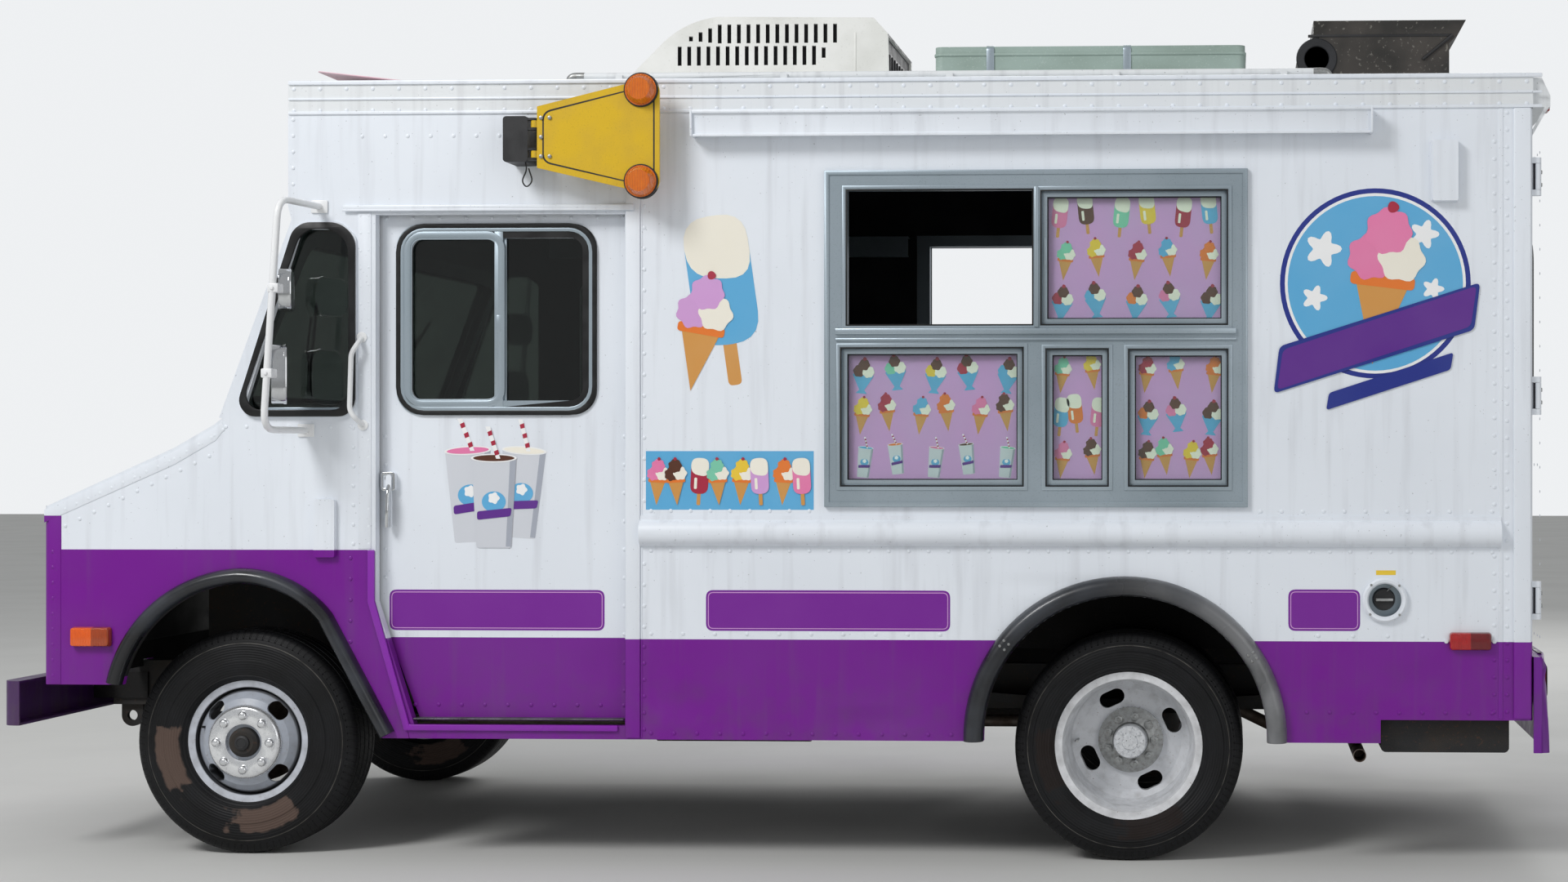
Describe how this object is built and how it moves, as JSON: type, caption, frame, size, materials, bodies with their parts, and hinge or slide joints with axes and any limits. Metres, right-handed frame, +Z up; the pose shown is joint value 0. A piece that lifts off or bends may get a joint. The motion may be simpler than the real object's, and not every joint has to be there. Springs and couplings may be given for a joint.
{
  "type": "ice cream truck",
  "caption": "Walk-in step van fitted as an ice cream truck, with serving windows in both walls, sliding cab doors, rear doors, swing-out sign, roof equipment and wheels that roll and steer",
  "frame": {"origin": "on the ground below the middle of the vehicle", "axes": "the front is -X, the driver's side is -Y and +Z is up"},
  "size_m": [5.5173, 2.98, 3.1242],
  "materials": {
    "coachwork_paint": "satin",
    "door_paint": "satin",
    "roof_paint": "matt",
    "bright_trim": "satin",
    "window_frame_metal": "satin",
    "glass": "gloss",
    "menu_print": "matt",
    "flare_rubber": "matt",
    "tyre": "matt",
    "wheel_paint": "satin",
    "chassis_steel": "matt",
    "front_bumper_paint": "satin",
    "rear_bumper_paint": "satin",
    "mirror_metal": "gloss",
    "lamp_glass": "gloss",
    "signal_plastic": "gloss",
    "sign_paint": "satin",
    "exhaust_steel": "matt",
    "seat_vinyl": "satin",
    "cab_plastic": "matt",
    "floor_plate": "matt",
    "unit_metal": "matt"
  },
  "bodies": {
    "truck": {"air_conditioner": "unit_metal", "awning_housings": "roof_paint", "belt_rails": "bright_trim", "cab_glass": "glass", "crossmembers": "chassis_steel", "dashboard": "cab_plastic", "door_tracks": "bright_trim", "engine": "chassis_steel", "exhaust": "exhaust_steel", "flares": "flare_rubber", "floor": "floor_plate", "frame_rails": "chassis_steel", "front_axle": "chassis_steel", "front_bumper": "front_bumper_paint", "fuel_tank": "chassis_steel", "headlamps": "lamp_glass", "leaf_springs": "chassis_steel", "left_wall": "coachwork_paint", "menu_boards": "menu_print", "mirrors": "mirror_metal", "nose": "coachwork_paint", "rear_axle": "chassis_steel", "rear_bumper": "rear_bumper_paint", "rear_frame": "coachwork_paint", "rear_hood": "roof_paint", "right_wall": "coachwork_paint", "roof": "roof_paint", "roof_box": "unit_metal", "roof_conduit": "unit_metal", "roof_vent": "unit_metal", "seat": "seat_vinyl", "serving_glass": "glass", "serving_windows": "window_frame_metal", "side_covers": "roof_paint", "sign_box": "roof_paint", "signal_lamps": "signal_plastic", "windshield_frame": "coachwork_paint"},
    "left_door": {"left_door": "door_paint", "left_door_glass": "glass"},
    "right_door": {"right_door": "door_paint", "right_door_glass": "glass"},
    "rear_door_left": {"rear_door_left": "door_paint", "rear_glass_left": "glass"},
    "rear_door_right": {"rear_door_right": "door_paint", "rear_glass_right": "glass"},
    "hood": {"hood": "coachwork_paint"},
    "sign": {"sign": "sign_paint", "sign_lamps": "signal_plastic"},
    "steering_wheel": {"steering_wheel": "cab_plastic"},
    "left_knuckle": {"left_knuckle": "chassis_steel"},
    "right_knuckle": {"right_knuckle": "chassis_steel"},
    "front_wheel_left": {"front_wheel_left": "wheel_paint", "front_tyre_left": "tyre"},
    "front_wheel_right": {"front_wheel_right": "wheel_paint", "front_tyre_right": "tyre"},
    "rear_wheels_left": {"rear_wheels_left": "wheel_paint", "rear_tyres_left": "tyre"},
    "rear_wheels_right": {"rear_wheels_right": "wheel_paint", "rear_tyres_right": "tyre"}
  },
  "joints": [
    {"name": "left_door_slide", "type": "slide", "parent": "truck", "child": "left_door", "axis": [1, 0, 0], "range_m": [0, 0.66]},
    {"name": "right_door_slide", "type": "slide", "parent": "truck", "child": "right_door", "axis": [1, 0, 0], "range_m": [0, 0.66]},
    {"name": "rear_door_left_hinge", "type": "hinge", "parent": "truck", "child": "rear_door_left", "pos_m": [2.705, -1.156, 1.64], "axis": [0, 0, -1], "range_deg": [0, 180]},
    {"name": "rear_door_right_hinge", "type": "hinge", "parent": "truck", "child": "rear_door_right", "pos_m": [2.705, 1.156, 1.64], "axis": [0, 0, 1], "range_deg": [0, 180]},
    {"name": "hood_hinge", "type": "hinge", "parent": "truck", "child": "hood", "pos_m": [-1.972, 0, 1.5369], "axis": [0, 1, 0], "range_deg": [0, 60]},
    {"name": "sign_swing", "type": "hinge", "parent": "truck", "child": "sign", "pos_m": [-0.774, -1.3, 2.53], "axis": [0, 0, -1], "range_deg": [0, 90]},
    {"name": "left_steer", "type": "hinge", "parent": "truck", "child": "left_knuckle", "pos_m": [-1.894, -0.8, 0.403], "axis": [0, 0, 1], "range_deg": [-35, 35]},
    {"name": "right_steer", "type": "hinge", "parent": "truck", "child": "right_knuckle", "pos_m": [-1.894, 0.8, 0.403], "axis": [0, 0, 1], "range_deg": [-35, 35]},
    {"name": "steering_wheel_turn", "type": "hinge", "parent": "truck", "child": "steering_wheel", "pos_m": [-1.244, -0.56, 1.43], "axis": [0.8175, 0, 0.576], "range_deg": [-500, 500]},
    {"name": "front_wheel_left_spin", "type": "hinge", "parent": "left_knuckle", "child": "front_wheel_left", "pos_m": [-1.894, -0.9485, 0.403], "axis": [0, 1, 0], "continuous": true},
    {"name": "front_wheel_right_spin", "type": "hinge", "parent": "right_knuckle", "child": "front_wheel_right", "pos_m": [-1.894, 0.9485, 0.403], "axis": [0, 1, 0], "continuous": true},
    {"name": "rear_wheels_left_spin", "type": "hinge", "parent": "truck", "child": "rear_wheels_left", "pos_m": [1.281, -0.839, 0.405], "axis": [0, 1, 0], "continuous": true},
    {"name": "rear_wheels_right_spin", "type": "hinge", "parent": "truck", "child": "rear_wheels_right", "pos_m": [1.281, 0.839, 0.405], "axis": [0, 1, 0], "continuous": true}
  ],
  "couplings": [
    {"joint": "right_steer", "follows": "left_steer", "ratio": 1},
    {"joint": "steering_wheel_turn", "follows": "left_steer", "ratio": 14}
  ]
}
